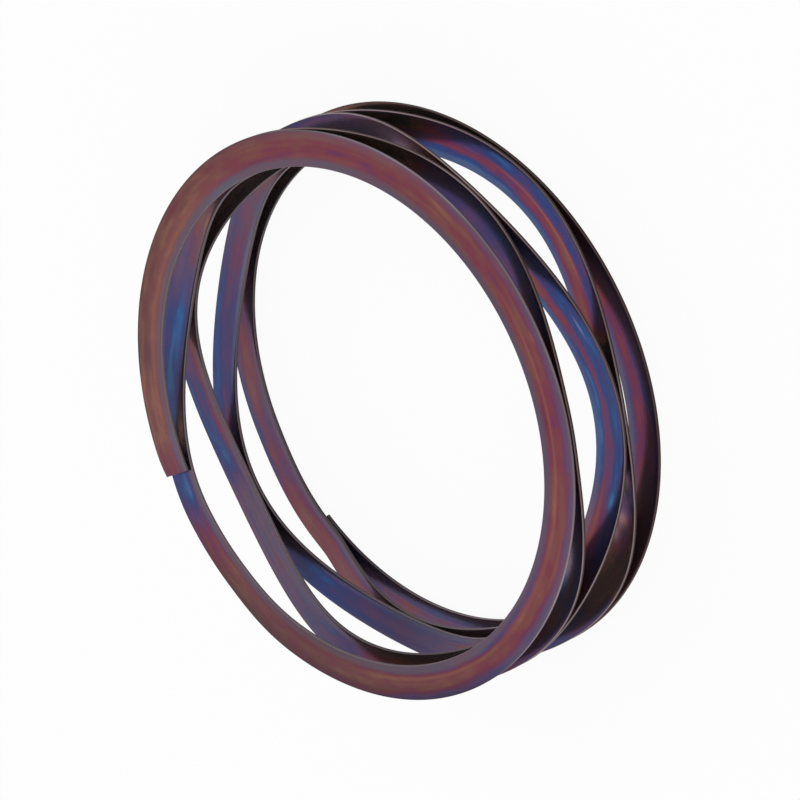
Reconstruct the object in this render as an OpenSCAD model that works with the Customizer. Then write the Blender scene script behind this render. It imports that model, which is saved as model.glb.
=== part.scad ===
// Multi-turn wave spring of flat steel wire with plain end turns.
// The wire is wound on edge, turn on turn, and every crest of a waved turn meets a trough of the
// turn above it. The first and the last turn are flat and carry the load on a full ring.
// Origin: centre of the spring's outline, on the underside of the back end turn. +Z runs along the
// axis to the front end turn. The wire starts at the back tip, towards +X, and climbs
// counterclockwise.

/* [Wire] */
// Outside diameter of the turns
outer_d = 70; // [50:1:100]
// Width of the flat wire, across the ring
wire_w = 4.3; // [3:0.1:7]
// Thickness of the flat wire, along the axis
wire_t = 0.5; // [0.3:0.05:0.9]
// Radius of the rolled edges, as a share of the thickness
edge_share = 0.3; // [0.1:0.05:0.45]

/* [Waves] */
// Waves in one turn; the half wave sets each crest against a trough
waves = 3.5; // [2.5:1:6.5]
// Height of a wave, from trough to crest
wave_h = 3.85; // [1.5:0.05:5]
// Turns of waved wire between the end turns
waved_turns = 3; // [1:1:5]
// Air left where a crest meets a trough
crest_gap = 0.06; // [0.03:0.01:0.3]

/* [End turns] */
// Angle from the back tip to the first trough
back_turn = 346; // [335:1:355]
// Angle from the last crest to the front tip
front_turn = 351; // [335:1:355]
// Angle in which an end turn steps aside by one wire thickness to pass its own tip
lap_angle = 25; // [18:1:35]
// Lean of the free spring on its back end turn, in degrees
lean = 2.1; // [0:0.1:2.5]
// Direction of the high side of the lean
lean_at = 76; // [0:2:358]

/* [Hidden] */

// Sections of wire from tip to tip, and facets in each rolled corner
rings = 740;
corner_steps = 1;
// How far a waved turn is eased where it settles against an end turn
settle = 0.2;
// Angle in which a flat end turn passes over into the waved wire, before the lap
ease_angle = 21;

outer_r = outer_d / 2;
inner_r = outer_r - wire_w;
mid_r = outer_r - wire_w / 2;
edge_r = edge_share * wire_t;
seat = wire_t + crest_gap;          // one wire on top of another
pitch = wave_h + seat;              // a crest lands in the trough of the turn above
wave_angle = 360 / waves;
half_waves = 2 * floor(waves * waved_turns) + 1;
first_trough = back_turn;
last_crest = first_trough + half_waves * wave_angle / 2;
front_tip = last_crest + front_turn;
flat_angle = 360 - lap_angle - ease_angle;

// 0 before start, 1 after start + span, and an S-curve between
function ramp(a, start, span) =
    let (s = min(1, max(0, (a - start) / span)))
    s * s * (3 - 2 * s);
function mix(from, to, share) = from + (to - from) * share;
function soft_max(p, q) = (p + q + sqrt(pow(p - q, 2) + settle * settle)) / 2;
function soft_min(p, q) = (p + q - sqrt(pow(p - q, 2) + settle * settle)) / 2;

// Heights are those of the wire's underside, at angle a along the wire and radius r
function lean_rise(a, r) = r * tan(lean) * cos(a - lean_at);
function wave_rise(a, r) =
    let (w = min(last_crest, max(first_trough, a)) - first_trough)
    pitch * w / 360 - wave_h / 2 * cos(waves * w) + lean_rise(a, r);

// The waved wire stands on its next two troughs over the back end turn
resting_troughs = [for (k = [1, 2]) first_trough + k * wave_angle];
waves_base = seat + settle / 2
    - min([for (a = resting_troughs, r = [inner_r, outer_r]) wave_rise(a, r)]);
function waved_z(a, r) = waves_base + wave_rise(a, r);

// The front end turn is a flat ring that lies on the last three crests
crests = [for (k = [0, 1, 2])
    let (a = last_crest - k * wave_angle)
    [mid_r * cos(a), mid_r * sin(a), waved_z(a, mid_r) + seat]];
front_normal = cross(crests[1] - crests[0], crests[2] - crests[0]);
function front_z(a, r) =
    let (away = [r * cos(a), r * sin(a)] - [crests[0][0], crests[0][1]])
    crests[0][2] - (front_normal[0] * away[0] + front_normal[1] * away[1]) / front_normal[2];

// Each end turn steps aside by one seat to clear its own tip
function floor_z(a) = seat * ramp(a, 360 - lap_angle, lap_angle);
function ceiling_z(a, r) =
    front_z(a, r) - seat * ramp(front_tip - a, 360 - lap_angle, lap_angle);

function between_ends_z(a, r) =
    soft_min(soft_max(waved_z(a, r), floor_z(a)), ceiling_z(a, r));
function wire_z(a, r) =
    mix(mix(0, between_ends_z(a, r), ramp(a, flat_angle, ease_angle)),
        front_z(a, r),
        1 - ramp(front_tip - a, flat_angle, ease_angle));

// The turns lean as one body, so each section stands aside by its height
pivot_z = front_z(0, 0) / 2;
function aside(z) = -tan(lean) * (z - pivot_z) * [cos(lean_at), sin(lean_at)];

// Section of the wire: [across from the middle, up from the underside], counterclockwise
function corner(across, up, from_angle) =
    [for (k = [0 : corner_steps])
        let (t = from_angle + 90 * k / corner_steps)
        [across + edge_r * cos(t), up + edge_r * sin(t)]];
half_flat = wire_w / 2 - edge_r;
section = concat(
    corner(half_flat, edge_r, -90),
    corner(half_flat, wire_t - edge_r, 0),
    corner(-half_flat, wire_t - edge_r, 90),
    corner(-half_flat, edge_r, 180));
corners = len(section);

function ring(a) =
    let (middle = aside(wire_z(a, mid_r)))
    [for (p = section)
        let (r = mid_r + p[0])
        [middle[0] + r * cos(a), middle[1] + r * sin(a), wire_z(a, r) + p[1]]];

module wave_spring() {
    points = [for (i = [0 : rings]) each ring(front_tip * i / rings)];
    start_face = [[for (j = [corners - 1 : -1 : 0]) j]];
    end_face = [[for (j = [0 : corners - 1]) rings * corners + j]];
    wall_faces = [for (i = [0 : rings - 1], j = [0 : corners - 1])
        let (near = i * corners, far = near + corners, next = (j + 1) % corners)
        each [[near + j, near + next, far + next], [near + j, far + next, far + j]]];
    color([0.42, 0.29, 0.33])
        polyhedron(points, concat(start_face, wall_faces, end_face), convexity = 10);
}

wave_spring();
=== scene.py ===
import math

import bmesh
import bpy
import numpy as np
from mathutils import Matrix, Vector


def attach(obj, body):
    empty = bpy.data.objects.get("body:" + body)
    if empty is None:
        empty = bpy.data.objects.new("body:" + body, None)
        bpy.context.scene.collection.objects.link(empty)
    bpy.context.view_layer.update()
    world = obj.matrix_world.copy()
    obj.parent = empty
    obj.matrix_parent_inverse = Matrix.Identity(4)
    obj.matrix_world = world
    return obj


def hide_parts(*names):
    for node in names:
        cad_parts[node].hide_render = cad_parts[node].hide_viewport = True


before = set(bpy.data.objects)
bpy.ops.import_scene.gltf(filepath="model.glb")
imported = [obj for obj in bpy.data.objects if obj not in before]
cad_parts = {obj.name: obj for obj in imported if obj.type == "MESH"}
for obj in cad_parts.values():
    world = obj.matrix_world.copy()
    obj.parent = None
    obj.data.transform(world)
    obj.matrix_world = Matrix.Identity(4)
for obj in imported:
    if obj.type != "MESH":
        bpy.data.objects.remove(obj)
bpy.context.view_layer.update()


# Camera. It stands off on the side of the front tip, about 41 degrees above the plane of the
# turns, and is rolled, so that the spring's axis points down to the left as in the photograph.
camera_at = Vector((-0.295422, 0.094846, 0.274555))
camera_right = Vector((-0.429331, 0.592458, -0.681666)).normalized()
camera_back = Vector((-0.720611, 0.230261, 0.653987)).normalized()
camera_up = camera_back.cross(camera_right).normalized()
camera_right = camera_up.cross(camera_back)

camera_data = bpy.data.cameras.new("camera")
camera_data.sensor_width = 36
camera_data.lens = 154.624
camera_data.clip_start, camera_data.clip_end = 0.02, 20
camera = bpy.data.objects.new("camera", camera_data)
bpy.context.scene.collection.objects.link(camera)
turned = Matrix((camera_right, camera_up, camera_back)).transposed().to_4x4()
camera.matrix_world = Matrix.Translation(camera_at) @ turned
bpy.context.scene.camera = camera


# The spring. One length of cold-rolled spring steel, 4.3 by 0.5 mm with rolled edges, wound on
# edge into two flat end turns with three waved turns between them, and heated after winding.
# Lengths are in metres and angles in degrees; places along the wire start at the back tip.
wire_w, wire_t, edge_r = 0.0043, 0.0005, 0.00009
thinning = 0.08                           # how much thinner the wire is at its edges
tip_trim, tip_turns = 0.0003, 0.016       # the front tip's outer corner is eased
outer_r = 0.035
mid_r = outer_r - wire_w / 2
inner_r = mid_r - wire_w / 2
waves, half_waves, wave_h = 3.5, 21, 0.00385
crest_gap = 0.00006                       # air where a crest meets a trough
seat = wire_t + crest_gap
pitch = wave_h + seat
back_turn, front_turn = 346.0, 351.0
first_trough = back_turn
last_crest = first_trough + half_waves * 180 / waves
front_tip = last_crest + front_turn
lap, ease = 25.0, 21.0                    # in which an end turn passes its tip, and turns to waves
settle = 0.0002                           # how softly a waved turn meets an end turn
lean, lean_at = 2.1, 76.0                 # how far the free spring leans, and to which side


def ramp(a, start, span):
    s = np.clip((a - start) / span, 0, 1)
    return s * s * (3 - 2 * s)


def mix(low, high, share):
    return low + (high - low) * share


def soft_max(p, q):
    return (p + q + np.sqrt((p - q) ** 2 + settle ** 2)) / 2


def soft_min(p, q):
    return (p + q - np.sqrt((p - q) ** 2 + settle ** 2)) / 2


def wave_rise(a, r):
    w = np.clip(a, first_trough, last_crest) - first_trough
    tilt = r * math.tan(math.radians(lean)) * np.cos(np.radians(a - lean_at))
    return pitch * w / 360 - wave_h / 2 * np.cos(np.radians(waves * w)) + tilt


# The waved turns stand on two troughs over the back turn
waves_base = seat + settle / 2 - min(
    wave_rise(first_trough + k * 360 / waves, r) for k in (1, 2) for r in (inner_r, outer_r))

# The front turn is flat and lies on the last three crests
crests = []
for k in range(3):
    a = last_crest - k * 360 / waves
    height = waves_base + wave_rise(a, mid_r) + seat
    around = math.radians(a)
    crests.append(Vector((mid_r * math.cos(around), mid_r * math.sin(around), height)))
front_normal = (crests[1] - crests[0]).cross(crests[2] - crests[0])


def front_z(a, r):
    x = r * np.cos(np.radians(a)) - crests[0].x
    y = r * np.sin(np.radians(a)) - crests[0].y
    return crests[0].z - (front_normal.x * x + front_normal.y * y) / front_normal.z


def wire_z(a, r):
    floor_z = seat * ramp(a, 360 - lap, lap)
    ceiling_z = front_z(a, r) - seat * ramp(front_tip - a, 360 - lap, lap)
    free_z = soft_min(soft_max(waves_base + wave_rise(a, r), floor_z), ceiling_z)
    from_back = ramp(a, 360 - lap - ease, ease)
    from_front = ramp(front_tip - a, 360 - lap - ease, ease)
    return mix(mix(0, free_z, from_back), front_z(a, r), 1 - from_front)


# The turns lean as one body, so each section stands aside by its height
pivot_z = front_z(0, 0) / 2
lean_way = Vector((math.cos(math.radians(lean_at)), math.sin(math.radians(lean_at)), 0))


# The wire is drawn as a straight bar along Y, cut into 1440 lengths, and then wound
wire = bmesh.new()
bmesh.ops.create_grid(wire, x_segments=1, y_segments=1, size=0.5)
bmesh.ops.scale(wire, vec=(wire_w, wire_t, 1), verts=wire.verts)
bmesh.ops.bevel(wire, geom=wire.verts[:], offset=edge_r, segments=5, profile=0.5,
                affect='VERTICES', clamp_overlap=True, material=-1)
flat_sides = [e for e in wire.edges if e.calc_length() > wire_w / 2]
bmesh.ops.subdivide_edges(wire, edges=flat_sides, cuts=11)
upright = Matrix.Rotation(math.pi / 2, 3, 'X')
bmesh.ops.rotate(wire, cent=(0, 0, 0), matrix=upright, verts=wire.verts)
drawn = bmesh.ops.extrude_face_region(wire, geom=wire.faces[:])
far_end = [g for g in drawn["geom"] if isinstance(g, bmesh.types.BMVert)]
bmesh.ops.translate(wire, vec=(0, 1, 0), verts=far_end)
for cuts in (11, 11, 9):
    lengthwise = [e for e in wire.edges if abs(e.verts[0].co.y - e.verts[1].co.y) > 1e-6]
    bmesh.ops.subdivide_edges(wire, edges=lengthwise, cuts=cuts, use_grid_fill=True)
bmesh.ops.recalc_face_normals(wire, faces=wire.faces[:])

# The cut ends stay sharp
for f in wire.faces:
    f.smooth = abs(f.normal.y) < 0.5
for e in wire.edges:
    e.smooth = len({f.smooth for f in e.link_faces}) == 1

# Tables of the finish, and of painted highlights and painted shade, along the wire, in turns from
# the front tip. The oxide is thinnest at 0, where the steel is brown, and thickest at 1: red, wine,
# purple, blue and grey lie between.
tint = {
    # Oxide of the stripe along the middle, of the inner side and of the outer side
    "core": [
        (0, .42), (.012, .3), (.025, .2), (.07, .18), (.1, .24), (.2, .22), (.23, .32), (.34, .34),
        (.4, .26), (.44, .33), (.5, .25), (.54, .36), (.58, .25), (.63, .23), (.7, .27), (.75, .3),
        (.8, .27), (.88, .32), (.93, .26), (.965, .55), (.985, .84), (1.02, .78), (1.05, .8),
        (1.07, .84), (1.1, .88), (1.125, .68), (1.14, .5), (1.17, .36), (1.22, .3), (1.26, .1),
        (1.34, .1), (1.38, .64), (1.46, .68), (1.5, .2), (1.58, .3), (1.6, .64), (1.63, .74),
        (1.655, .7), (1.67, .46), (1.74, .4), (1.76, .08), (1.8, .08), (1.84, .6), (1.87, .7),
        (1.92, .57), (1.975, .56), (2.0, .86), (2.03, .72), (2.05, .7), (2.08, .5), (2.11, .05),
        (2.24, .05), (2.27, .6), (2.33, .5), (2.38, .3), (2.46, .27), (2.49, .42), (2.53, .52),
        (2.57, .45), (2.595, .35), (2.625, .36), (2.645, .5), (2.66, .62), (2.7, .6), (2.73, .1),
        (2.76, .1), (2.8, .62), (2.86, .64), (2.91, .82), (2.95, .6), (2.98, .45), (3.01, .5),
        (3.04, .66), (3.08, .64), (3.12, .46), (3.17, .5), (3.22, .1), (3.32, .3), (3.335, .5),
        (3.38, .46), (3.42, .42), (3.45, .3), (3.495, .36), (3.503, .05), (3.53, .05), (3.56, .48),
        (3.62, .52), (3.65, .1), (3.69, .1), (3.7, .6), (3.73, .74), (3.76, .72), (3.79, .1),
        (3.84, .1), (3.88, .33), (3.94, .32), (3.98, .5), (4.01, .54), (4.03, .3), (4.06, .32),
        (4.08, .5), (4.13, .5), (4.145, .05), (4.42, .05), (4.46, .42), (4.5, .42), (4.53, .38),
        (4.58, .42), (4.61, .3), (4.66, .1), (4.72, .1), (4.79, .66), (4.835, .5), (4.855, .34),
        (4.88, .62), (4.91, .8), (4.94, .6)],
    "inner": [
        (0, .6), (.04, .5), (.3, .52), (.6, .6), (.9, .5), (.97, .6), (1, .6), (1.02, .62),
        (1.05, .66), (1.08, .7), (1.105, .72), (1.12, .56), (1.14, .42), (1.18, .2), (1.22, .3),
        (1.26, .1), (1.34, .1), (1.38, .64), (1.46, .66), (1.5, .2), (1.58, .3), (1.6, .64),
        (1.63, .76), (1.67, .74), (1.7, .5), (1.74, .4), (1.76, .08), (1.8, .08), (1.84, .66),
        (1.88, .72), (1.93, .58), (1.98, .57), (2, .62), (2.015, .42), (2.03, .5), (2.06, .38),
        (2.08, .3), (2.1, .05), (2.24, .05), (2.27, .6), (2.33, .4), (2.38, .2), (2.44, .84),
        (2.57, .84), (2.59, .66), (2.6, .54), (2.62, .4), (2.66, .5), (2.7, .6), (2.73, .1),
        (2.78, .7), (2.9, .7), (2.94, .5), (2.98, .42), (3.02, .5), (3.05, .76), (3.1, .9),
        (3.15, .84), (3.19, .7), (3.22, .1), (3.3, .3), (3.34, .86), (3.42, .84), (3.47, .66),
        (3.495, .56), (3.503, .05), (3.53, .05), (3.56, .5), (3.6, .4), (3.65, .1), (3.68, .1),
        (3.695, .6), (3.72, .74), (3.76, .72), (3.79, .1), (3.84, .1), (3.88, .6), (4.02, .56),
        (4.06, .5), (4.13, .56), (4.145, .05), (4.42, .05), (4.46, .32), (4.485, .34), (4.5, .6),
        (4.58, .62), (4.62, .2), (4.72, .1), (4.79, .74), (4.88, .76), (4.94, .7)],
    "outer": [
        (0, .3), (.01, .2), (.03, .12), (.1, .16), (.2, .2), (.24, .24), (.3, .38), (.36, .36),
        (.42, .44), (.5, .52), (.58, .56), (.66, .58), (.72, .62), (.77, .62), (.81, .44),
        (.92, .34), (.95, .42), (.98, .7), (1.03, .72), (1.06, .72), (1.1, .68), (1.13, .62),
        (1.2, .62), (1.26, .1), (1.36, .05), (1.375, .6), (1.4, .7), (1.44, .72), (1.49, .66),
        (1.505, .05), (1.55, .05), (1.565, .5), (1.59, .62), (1.63, .7), (1.655, .66), (1.69, .56),
        (1.73, .4), (1.76, .05), (1.78, .05), (1.83, .6), (1.88, .64), (1.93, .58), (1.975, .58),
        (2.0, .76), (2.06, .76), (2.1, .5), (2.13, .05), (2.22, .05), (2.25, .64), (2.3, .6),
        (2.34, .56), (2.37, .1), (2.42, .05), (2.432, .7), (2.46, .78), (2.51, .8), (2.54, .81),
        (2.56, .78), (2.6, .72), (2.63, .66), (2.645, .4), (2.66, .05), (2.74, .05), (2.78, .6),
        (2.83, .66), (2.88, .74), (2.92, .76), (2.96, .3), (2.99, .1), (3.02, .7), (3.06, .76),
        (3.1, .68), (3.14, .62), (3.19, .5), (3.24, .1), (3.33, .02), (3.345, .4), (3.355, .7),
        (3.38, .8), (3.42, .76), (3.46, .68), (3.49, .66), (3.5, .5), (3.505, .05), (3.56, .05),
        (3.575, .62), (3.6, .66), (3.64, .05), (3.665, .05), (3.675, .62), (3.73, .74), (3.76, .7),
        (3.79, .1), (3.84, .2), (3.89, .36), (3.94, .34), (3.98, .6), (4.0, .72), (4.03, .62),
        (4.06, .6), (4.09, .5), (4.1, .1), (4.2, .02), (4.42, .05), (4.45, .5), (4.48, .6),
        (4.55, .6), (4.6, .5), (4.64, .3), (4.7, .1), (4.8, .3), (4.85, .6), (4.9, .7), (4.94, .6)],
    # Where the stripe lies across the wire, from -1 inside to 1 outside, and half its width
    "core_at": [
        (0, 0), (.9, .05), (1.06, 0), (1.085, -.2), (1.1, -.31), (1.12, -.42), (1.2, -.4),
        (1.42, -.3), (1.9, 0), (2.0, .1), (2.06, .2), (2.4, -.35), (2.46, -.33), (2.53, -.1),
        (2.6, -.15), (2.66, -.3), (2.85, 0), (3.05, -.3), (3.13, -.25), (3.3, -.2), (3.37, -.05),
        (3.44, -.08), (3.5, -.2), (3.58, .2), (3.92, .1), (4.03, .1), (4.06, 0), (4.3, .1),
        (4.47, -.2), (4.51, -.18), (4.54, -.14), (4.6, -.2), (4.8, 0), (4.85, .12), (4.94, 0)],
    "core_width": [
        (0, .5), (.2, .5), (.3, .5), (.45, .4), (.58, .38), (.62, .3), (.7, .28), (.77, .24),
        (.82, .4), (.9, .5), (1, .3), (1.06, .25), (1.1, .25), (1.13, .15), (1.2, .3), (1.5, .4),
        (1.9, .5), (1.98, .3), (2.0, .15), (2.06, .3), (2.4, .12), (2.46, .07), (2.53, .04),
        (2.6, .07), (2.8, .3), (3.05, .15), (3.2, .2), (3.34, .12), (3.42, .22), (3.48, .25),
        (3.6, .2), (3.8, .3), (3.96, .4), (4.0, .25), (4.06, .15), (4.1, .4), (4.45, .14),
        (4.55, .14), (4.8, .1), (4.94, .1)],
    # A drawn line of thinner oxide: its place, its width and its strength
    "line_at": [
        (0, -.35), (.06, -.3), (.2, -.36), (.3, -.4), (.45, -.1), (.6, -.18), (.62, -.32),
        (.68, -.36), (.71, -.2), (.8, -.26), (2.4, -.2), (3.3, .14), (3.37, .18), (3.43, .08),
        (3.47, .16), (4.5, 0), (4.94, 0)],
    "line_width": [
        (0, .2), (.22, .2), (.3, .14), (.45, .08), (.6, .08), (.63, .22), (.68, .22), (.7, .08),
        (.8, .1), (3.3, .08), (4.94, .08)],
    "line": [
        (0, .3), (.03, .4), (.06, .4), (.08, .8), (.18, .7), (.22, .3), (.24, 0), (.3, .2),
        (.34, .4), (.36, 0), (.44, .1), (.5, .8), (.6, .8), (.62, .2), (.64, .7), (.67, .7),
        (.69, .2), (.74, 1), (.8, .8), (.83, 0), (3.38, 0), (3.4, .7), (3.43, 1.2), (3.46, 1.2),
        (3.48, 0), (4.94, 0)],
    # Grey haze, where the grey of the inner edge begins, and its lighter and bluer stretches
    "haze": [
        (0, .1), (.2, .05), (.3, 0), (.7, 0), (.8, .05), (.86, .15), (.9, .15), (.94, .05),
        (.98, 0), (1.04, .15), (1.09, .05), (1.13, .3), (1.2, .2), (1.4, 0), (1.85, .1), (1.88, .4),
        (1.94, .55), (1.97, .45), (1.99, .1), (2.05, .1), (2.22, .25), (2.28, .2), (2.35, .4),
        (2.38, 0), (2.5, .05), (2.54, .14), (2.59, .1), (2.62, 0), (2.8, .3), (2.86, .1), (2.9, 0),
        (3.02, .1), (3.1, .2), (3.18, .4), (3.22, .3), (3.3, 0), (3.56, 0), (3.66, 0), (3.69, .35),
        (3.86, .3), (3.9, .12), (3.98, .15), (4.02, .28), (4.06, .25), (4.4, 0), (4.58, 0),
        (4.6, .35), (4.65, .3), (4.8, .4), (4.86, .3), (4.94, .2)],
    "grey_from": [
        (0, .5), (.06, .4), (.25, .35), (.37, .3), (.5, .35), (.61, .4), (.64, .55), (.68, .55),
        (.71, .35), (.9, .4), (1, .5), (1.1, .6), (1.15, .45), (1.85, .4), (2.1, .4), (2.4, .45),
        (2.57, .45), (2.62, .35), (2.8, .5), (3.05, .5), (3.3, .45), (3.5, .45), (4.1, .45),
        (4.5, .4), (4.94, .6)],
    "grey_light": [
        (0, 1), (.28, .9), (.36, .5), (.42, .2), (.6, .3), (.66, .8), (1, 1), (4.94, 1)],
    "grey_blue": [
        (0, 0), (1.04, 0), (1.08, .6), (1.12, .5), (1.15, 0), (2.42, 0), (2.46, 1), (2.57, 1),
        (2.6, .3), (2.62, 0), (2.78, .4), (2.88, .8), (3.0, .5), (3.12, .4), (3.2, 0), (3.3, 1),
        (3.46, 1), (3.49, .3), (3.52, 0), (4.47, 0), (4.5, .4), (4.56, .3), (4.6, 0), (4.94, 0)],
    # Painted shade: darker stretches, on the whole width and on the outer side alone
    "painted_shade": [
        (0, .12), (.02, .08), (.12, .08), (.2, .1), (.3, .08), (.42, .08), (.6, 0), (.72, .16),
        (.8, .26), (.86, .36), (.92, .25), (.96, .12), (1, .05), (1.03, .25), (1.06, .3),
        (1.08, .05), (1.12, 0), (1.16, .06), (1.27, .3), (1.36, .34), (1.39, .32), (1.41, .2),
        (1.45, .1), (1.48, .1), (1.5, .25), (1.57, .15), (1.6, 0), (1.66, .12), (1.7, .2),
        (1.75, .2), (1.86, .22), (1.94, .12), (2, .1), (2.05, .12), (2.25, .25), (2.32, .1),
        (2.45, 0), (2.635, 0), (2.66, .35), (2.74, .35), (2.78, .25), (2.84, .45), (2.9, .2),
        (2.915, .5), (2.935, .5), (2.96, .15), (3.05, .08), (3.15, .1), (3.2, .2), (3.24, .4),
        (3.33, .35), (3.342, 0), (3.5, 0), (3.52, .2), (3.6, .1), (3.64, .3), (3.69, .25),
        (3.71, .08), (3.76, .08), (3.88, .1), (3.95, .14), (4.06, .08), (4.12, .15), (4.2, .12),
        (4.3, .2), (4.42, .35), (4.475, .2), (4.485, .05), (4.5, .05), (4.56, .1), (4.6, .1),
        (4.7, .1), (4.76, 0), (4.8, .05), (4.94, .2)],
    "outer_painted_shade": [
        (0, 0), (.05, .05), (.08, .34), (.15, .3), (.25, .15), (.3, .05), (.36, 0), (.68, 0),
        (.71, .27), (.74, .42), (.8, .5), (.92, .58), (.96, .25), (1, .08), (1.04, .1), (1.1, 0),
        (4.94, 0)],
    # Painted highlight and painted shade on the rims: how bright the outer rims are painted, and
    # how dark the inner rims are painted as shade
    "edge_highlight": [
        (0, 0), (.22, 0), (.33, .8), (.42, .7), (.5, .6), (.58, .65), (.64, .85), (.68, .75),
        (.74, 0), (1.05, 0), (1.2, .5), (1.4, .9), (1.45, .25), (1.56, .35), (1.62, .9), (2.2, .9),
        (2.38, .9), (2.44, .4), (2.55, .5), (2.6, .9), (3.2, .9), (3.33, .8), (3.4, .3), (3.5, .4),
        (3.56, .9), (3.74, .9), (4.1, .3), (4.2, 0), (4.94, 0)],
    "rim_painted_shade": [
        (0, 0), (1.2, 0), (1.5, .4), (1.75, .75), (1.85, .35), (1.95, .1), (2.05, .2), (2.15, .5),
        (2.25, .4), (2.4, 0), (2.65, 0), (2.8, .2), (2.9, .4), (2.95, .5), (3.05, .45), (3.15, .15),
        (3.25, .2), (3.4, 0), (3.7, 0), (3.85, .5), (3.95, .6), (4.05, .5), (4.15, .65), (4.3, .75),
        (4.42, .5), (4.5, 0), (4.8, 0), (4.86, .3), (4.89, .75), (4.94, .75)],
    # How much higher the inner edge stands than the outer edge, in degrees
    "dish": [
        (0, 2.5), (1, 2.5), (1.2, 3), (1.5, 3), (1.8, 1.5), (3.9, 1.5), (4.1, 4), (4.94, 4)],
}

# Each point gets its place on the wire and its row of the tables, and is then wound. The rim
# attribute is 1 on the wall and 0 on the flats; under is 1 on the back of a turn
layers = {name: wire.verts.layers.float.new(name)
          for name in ("along", "across", "rim", "under", *tint)}
for v in wire.verts:
    a = front_tip * v.co.y
    out = v.co.x / (wire_w / 2)
    beyond = (abs(v.co.x) - wire_w / 2 + edge_r) / edge_r
    turns = (front_tip - a) / 360
    trimmed = tip_trim * max(0.0, 1 - turns / tip_turns) ** 2
    r = mid_r + v.co.x - trimmed * (1 + out) / 2
    v[layers["along"]] = turns
    v[layers["across"]] = out
    v[layers["rim"]] = math.asin(min(1.0, max(0.0, beyond))) / (math.pi / 2)
    v[layers["under"]] = 1.0 if v.co.z < 0 else 0.0
    for name, points in tint.items():
        v[layers[name]] = float(np.interp(turns, *zip(*points)))
    up = wire_t / 2 + v.co.z * (1 - thinning * abs(out) ** 6)
    v.co = (r * math.cos(math.radians(a)), r * math.sin(math.radians(a)), wire_z(a, r) + up)
    v.co -= lean_way * math.tan(math.radians(lean)) * (wire_z(a, mid_r) - pivot_z)
bmesh.ops.recalc_face_normals(wire, faces=wire.faces[:])
spring_mesh = bpy.data.meshes.new("spring")
wire.to_mesh(spring_mesh)
wire.free()
spring = bpy.data.objects.new("spring", spring_mesh)
bpy.context.scene.collection.objects.link(spring)

# Finish: bright cold-rolled steel under an oxide film, whose thickness gives most of the colour,
# with painted highlights and painted shade laid over it, and a thin film of oil. The functions
# below add nodes to the tree that nodes and links belong to
tinted_steel = bpy.data.materials.new("tinted_steel")
tinted_steel.use_nodes = True
nodes, links = tinted_steel.node_tree.nodes, tinted_steel.node_tree.links


def of_wire(name):
    node = nodes.new("ShaderNodeAttribute")
    node.attribute_name = name
    return node.outputs["Fac"]


def calc(operation, *values):
    node = nodes.new("ShaderNodeMath")
    node.operation = operation
    for socket, value in zip(node.inputs, values):
        if isinstance(value, (int, float)):
            socket.default_value = value
        else:
            links.new(value, socket)
    return node.outputs[0]


def fade(value, low, high, to_low=0.0, to_high=1.0):
    node = nodes.new("ShaderNodeMapRange")
    node.interpolation_type = 'SMOOTHSTEP'
    for socket, given in zip(node.inputs, (value, low, high, to_low, to_high)):
        if isinstance(given, (int, float)):
            socket.default_value = given
        else:
            links.new(given, socket)
    return node.outputs[0]


def streaks(lengthwise, crosswise, detail, shift):
    """Noise that is drawn out along the wire, from -1 to 1."""
    spot = nodes.new("ShaderNodeCombineXYZ")
    links.new(calc('MULTIPLY', of_wire("along"), lengthwise), spot.inputs[0])
    links.new(calc('MULTIPLY', of_wire("across"), crosswise), spot.inputs[1])
    spot.inputs[2].default_value = shift
    noise = nodes.new("ShaderNodeTexNoise")
    noise.inputs["Scale"].default_value = 1.0
    noise.inputs["Detail"].default_value = detail
    links.new(spot.outputs[0], noise.inputs["Vector"])
    return fade(noise.outputs["Fac"], 0.25, 0.75, -1.0, 1.0)


def blend(share, low, high):
    node = nodes.new("ShaderNodeMix")
    node.data_type = 'RGBA'
    sockets = (node.inputs["Factor"], node.inputs[6], node.inputs[7])
    for socket, value in zip(sockets, (share, low, high)):
        if isinstance(value, (int, float, tuple)):
            socket.default_value = value
        else:
            links.new(value, socket)
    return node.outputs[2]


def paint(red, green, blue):
    """A colour that is given as it looks, from 0 to 255."""
    return tuple(((c / 255 + 0.055) / 1.055) ** 2.4 for c in (red, green, blue)) + (1.0,)


# The oxide: the core stripe, then the inner or the outer side, all with streaks along the wire
stripe_wander, stripe_edge = 0.14, 0.4
across_wire = of_wire("across")
off_core = calc('SUBTRACT', across_wire, of_wire("core_at"))
off_core = calc('ADD', off_core, calc('MULTIPLY', streaks(7, 1.2, 2, 3.1), stripe_wander))
side_share = fade(calc('ABSOLUTE', off_core), of_wire("core_width"),
                  calc('ADD', of_wire("core_width"), stripe_edge))
on_outer_side = fade(off_core, -0.05, 0.05)
side_oxide = calc('ADD', calc('MULTIPLY', of_wire("outer"), on_outer_side),
                  calc('MULTIPLY', of_wire("inner"), calc('SUBTRACT', 1.0, on_outer_side)))
oxide = calc('ADD', calc('MULTIPLY', side_oxide, side_share),
             calc('MULTIPLY', of_wire("core"), calc('SUBTRACT', 1.0, side_share)))
for lengthwise, crosswise, detail, shift, amount in (
        (5, 2.2, 2, 0.7, 0.05), (16, 2.6, 2, 5.3, 0.06),
        (60, 1.8, 3, 2.2, 0.08), (24, 20, 3, 8.9, 0.025)):
    streak = streaks(lengthwise, crosswise, detail, shift)
    oxide = calc('ADD', oxide, calc('MULTIPLY', streak, amount))

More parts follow.
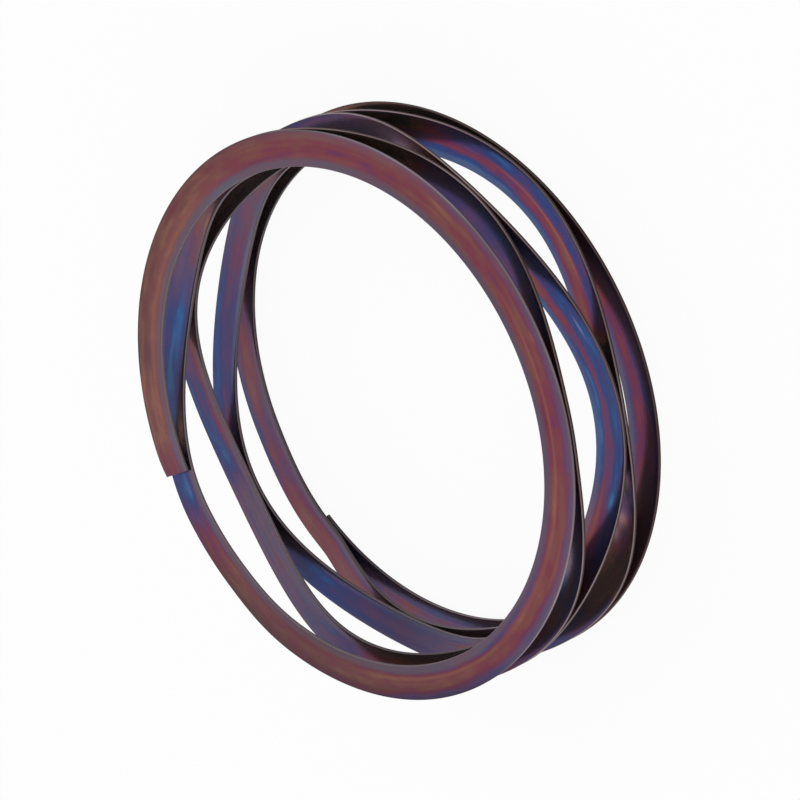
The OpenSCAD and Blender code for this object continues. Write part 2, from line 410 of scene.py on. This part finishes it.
temper = nodes.new("ShaderNodeValToRGB")
temper.color_ramp.interpolation = 'EASE'
shades = [
    (0.0, (75, 60, 57)), (0.07, (117, 82, 70)), (0.14, (136, 86, 72)), (0.25, (119, 67, 64)),
    (0.36, (118, 52, 66)), (0.46, (105, 45, 80)), (0.56, (89, 56, 97)), (0.66, (68, 54, 104)),
    (0.75, (44, 57, 112)), (0.82, (37, 69, 124)), (0.89, (42, 90, 140)), (0.95, (78, 88, 122)),
    (1.0, (88, 80, 104))]
while len(temper.color_ramp.elements) < len(shades):
    temper.color_ramp.elements.new(0.5)
for stop, (place, shade) in zip(temper.color_ramp.elements, shades):
    stop.position = place
    stop.color = paint(*shade)
links.new(oxide, temper.inputs[0])
colour = temper.outputs["Color"]

# A drawn line of thinner oxide
from_line = calc('SUBTRACT', across_wire, of_wire("line_at"))
from_line = calc('DIVIDE', from_line, of_wire("line_width"))
bell = calc('EXPONENT', calc('MULTIPLY', calc('MULTIPLY', from_line, from_line), -1.0))
line_share = calc('MULTIPLY', of_wire("line"), bell)
colour = blend(calc('MULTIPLY', line_share, 0.6), colour, paint(146, 88, 74))

# Grey haze and grey edges; a painted highlight and painted shade along the outer edge; and the
# painted shade of the darker stretches
grey = calc('MULTIPLY', of_wire("haze"), calc('MULTIPLY_ADD', streaks(6, 3, 2, 21.0), 0.5, 1.0))
grey_from = calc('MULTIPLY', of_wire("grey_from"), -1.0)
inner_edge = fade(across_wire, grey_from, calc('SUBTRACT', grey_from, 0.35), 0.0, 0.7)
grey_tone = blend(of_wire("grey_light"), paint(82, 73, 84), paint(104, 91, 99))
grey_tone = blend(of_wire("grey_blue"), grey_tone, paint(74, 86, 120))
colour = blend(calc('MAXIMUM', grey, inner_edge), colour, grey_tone)
# The outer edge band gets a painted highlight on the first turn where the edge highlight is strong,
# and painted shade elsewhere
first_turn_edge_highlight = calc('MULTIPLY', of_wire("edge_highlight"), fade(of_wire("along"), 1.0, 0.9))
outer_grey_highlight = calc('MULTIPLY', first_turn_edge_highlight, fade(across_wire, 0.35, 0.8, 0.0, 0.4))
colour = blend(outer_grey_highlight, colour, paint(106, 94, 108))
edge_highlight_and_shade = blend(first_turn_edge_highlight, paint(50, 40, 48), paint(112, 98, 114))
edge_highlight_and_shade = blend(of_wire("grey_blue"), edge_highlight_and_shade, paint(80, 86, 116))
colour = blend(fade(across_wire, 0.76, 0.99, 0.0, 0.55), colour, edge_highlight_and_shade)
# Painted shade: the darker stretches are painted towards near black
outer_painted_shade = calc('MULTIPLY', of_wire("outer_painted_shade"), fade(across_wire, -0.5, 0.7))
colour = blend(calc('MAXIMUM', of_wire("painted_shade"), outer_painted_shade), colour, paint(26, 18, 22))

# Small marks: specks of oxide, and pale ones, which are painted glints and painted reflections.
# Where they lie along and across the wire, how long and wide they are as shares of a turn and of
# half the wire's width, how strong they are, and their colour
for turns, place, long, wide, amount, shade in (
        # These two blue marks are painted glints
        (2.494, 0.45, 0.006, 0.08, 0.7, (110, 128, 180)),
        (2.594, 0.42, 0.005, 0.16, 0.75, (66, 122, 172)),
        (0.489, 0.47, 0.004, 0.1, 0.6, (150, 84, 66)),
        # These five pale pink and lilac patches are painted reflections of light
        (3.583, 0.45, 0.007, 0.35, 1.0, (235, 210, 230)),
        (3.588, 0.15, 0.005, 0.2, 0.6, (235, 185, 180)),
        (3.592, 0.8, 0.006, 0.3, 0.7, (160, 145, 205)),
        (3.613, 0.1, 0.006, 0.4, 0.65, (205, 152, 148)),
        (3.622, -0.3, 0.007, 0.3, 0.7, (215, 180, 185)),
        (3.125, -0.85, 0.03, 0.2, 0.5, (118, 98, 104)),
        # A painted highlight
        (1.625, 0.1, 0.014, 0.3, 0.65, (170, 146, 166)),
        (1.09, -0.3, 0.02, 0.25, 0.6, (50, 104, 158)),
        # These two pale patches are painted lighter, as painted light
        (2.345, 0.45, 0.018, 0.45, 0.5, (185, 158, 185)),
        (2.448, -0.05, 0.006, 0.4, 0.6, (135, 122, 150)),
        (0.22, -0.95, 0.02, 0.25, 0.6, (82, 94, 112)),
        (1.175, -0.8, 0.008, 0.12, 0.7, (150, 100, 80)),
        (2.018, -0.5, 0.012, 0.3, 0.5, (120, 50, 60)),
        (0.018, -0.75, 0.012, 0.25, 0.5, (88, 92, 124)),
        # A painted highlight
        (1.024, -0.8, 0.012, 0.35, 0.8, (215, 195, 190)),
        (0.075, 0.12, 0.012, 0.2, 0.5, (62, 56, 66)),
        (0.535, -0.4, 0.014, 0.15, 0.5, (84, 30, 60))):
    away_along = calc('DIVIDE', calc('SUBTRACT', of_wire("along"), turns), long)
    away_across = calc('DIVIDE', calc('SUBTRACT', across_wire, place), wide)
    away = calc('ADD', calc('MULTIPLY', away_along, away_along),
                calc('MULTIPLY', away_across, away_across))
    mark = calc('MULTIPLY', calc('EXPONENT', calc('MULTIPLY', away, -1.0)), amount)
    colour = blend(mark, colour, paint(*shade))

# The backs of the turns stayed browner, in faint streaks
back_tone = blend(fade(streaks(9, 1.5, 2, 61.0), -0.7, 0.7), paint(98, 72, 50), paint(84, 54, 52))
back_share = fade(streaks(4, 1.2, 2, 55.0), -0.6, 0.6, 0.95, 0.5)
colour = blend(calc('MULTIPLY', of_wire("under"), back_share), colour, back_tone)

# The rolled rims are bare steel under painted light. The outer ones carry a painted highlight,
# greyer on the first turn, and are painted dark where it is weak; the inner ones are painted
# darker, as shade, where they lie between turns. The foot of a rim is painted dark, as shade
rim_share = of_wire("rim")
outside = fade(across_wire, -0.5, 0.5)
uneven = calc('MULTIPLY_ADD', streaks(12, 0.3, 2, 41.0), 0.3, 0.8)
edge_highlight = calc('MULTIPLY', of_wire("edge_highlight"), uneven)
round_rim = fade(rim_share, 0.3, 0.8)
rear_corner = blend(edge_highlight, paint(58, 42, 36), paint(205, 176, 180))
rear_wall = blend(edge_highlight, paint(74, 58, 54), paint(142, 122, 124))
rear_rim = blend(round_rim, rear_corner, rear_wall)
front_rim = blend(round_rim, paint(122, 106, 124), paint(160, 147, 160))
front_rim = blend(edge_highlight, paint(56, 43, 42), front_rim)
first_turn = fade(of_wire("along"), 1.05, 0.95)
outer_rim = blend(first_turn, rear_rim, front_rim)
inner_rim = blend(of_wire("rim_painted_shade"), paint(121, 108, 114), paint(38, 30, 32))
rim_colour = blend(outside, inner_rim, outer_rim)
# Painted shade at the foot of a rim
rim_foot_shade_from = calc('MULTIPLY_ADD', first_turn, 0.35, 0.25)
rim_foot_shade = fade(of_wire("under"), rim_foot_shade_from, calc('ADD', rim_foot_shade_from, 0.25))
rim_foot_shade = calc('MULTIPLY', rim_foot_shade, calc('MULTIPLY_ADD', outside, 0.5, 0.5))
rim_colour = blend(rim_foot_shade, rim_colour, paint(46, 34, 30))
on_rim = fade(rim_share, 0.1, 0.5)
colour = blend(on_rim, colour, rim_colour)

# The winding dishes the wire a little: its inner edge stands higher than its outer edge. Fine
# scratches run along it
scratch_depth = 0.0000006
face_up = calc('SUBTRACT', 1.0, calc('MULTIPLY', of_wire("under"), 2.0))
dish = calc('MULTIPLY', calc('TANGENT', calc('RADIANS', of_wire("dish"))), -wire_w / 2)
dish = calc('MULTIPLY', calc('MULTIPLY', dish, across_wire), face_up)
scratches = calc('MULTIPLY', streaks(30, 40, 3, 30.0), scratch_depth)
relief = nodes.new("ShaderNodeBump")
relief.inputs["Strength"].default_value = 1.0
relief.inputs["Distance"].default_value = 1.0
links.new(calc('ADD', dish, scratches), relief.inputs["Height"])

flat_rough, uneven_rough, rim_rough = 0.15, 0.03, 0.3
shader = nodes["Principled BSDF"]
shader.inputs["Metallic"].default_value = 0.9
shader.inputs["Specular IOR Level"].default_value = 0.15
shader.inputs["Specular Tint"].default_value = (0.72, 0.66, 0.7, 1)
shader.inputs["Coat Weight"].default_value = 0.45
shader.inputs["Coat Roughness"].default_value = 0.5
shader.inputs["Coat IOR"].default_value = 1.4
links.new(colour, shader.inputs["Base Color"])
links.new(relief.outputs[0], shader.inputs["Normal"])
rough = calc('ADD', flat_rough, calc('MULTIPLY', streaks(20, 14, 3, 12.0), uneven_rough))
rough = calc('ADD', rough, calc('MULTIPLY', on_rim, rim_rough))
links.new(rough, shader.inputs["Roughness"])
spring_mesh.materials.append(tinted_steel)
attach(spring, "root")
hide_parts("wave_spring")


# Floor and light. A large white sheet lies just under the spring, and even white light comes
# from all round, without a lamp. The sheet glows almost white to the camera and in mirrors; the
# small rest is lit paper, which keeps the spring's faint shadow.
floor_size, floor_gap, glow_share = 1.5, 0.00002, 0.93
sheet = bmesh.new()
bmesh.ops.create_grid(sheet, x_segments=1, y_segments=1, size=floor_size)
bmesh.ops.translate(sheet, vec=(0, 0, -floor_gap), verts=sheet.verts)
floor_mesh = bpy.data.meshes.new("floor")
sheet.to_mesh(floor_mesh)
sheet.free()
floor = bpy.data.objects.new("floor", floor_mesh)
bpy.context.scene.collection.objects.link(floor)
white_sheet = bpy.data.materials.new("white_sheet")
white_sheet.use_nodes = True
nodes, links = white_sheet.node_tree.nodes, white_sheet.node_tree.links
shader = nodes["Principled BSDF"]
shader.inputs["Base Color"].default_value = (0.8, 0.8, 0.8, 1)
shader.inputs["Roughness"].default_value = 1.0
shader.inputs["Specular IOR Level"].default_value = 0.0
glow = nodes.new("ShaderNodeEmission")
glow.inputs["Strength"].default_value = 1.0
seen = nodes.new("ShaderNodeLightPath")
blend_in = nodes.new("ShaderNodeMixShader")
white = calc('MAXIMUM', seen.outputs["Is Camera Ray"], seen.outputs["Is Glossy Ray"])
white = calc('MAXIMUM', white, seen.outputs["Is Transmission Ray"])
links.new(calc('MULTIPLY', white, glow_share), blend_in.inputs[0])
links.new(shader.outputs[0], blend_in.inputs[1])
links.new(glow.outputs[0], blend_in.inputs[2])
links.new(blend_in.outputs[0], nodes["Material Output"].inputs["Surface"])
floor_mesh.materials.append(white_sheet)

world = bpy.data.worlds.new("tent")
bpy.context.scene.world = world
world.use_nodes = True
background = world.node_tree.nodes["Background"]
background.inputs["Color"].default_value = (1, 1, 1, 1)
background.inputs["Strength"].default_value = 1.0

bpy.context.scene.view_settings.view_transform = "Standard"
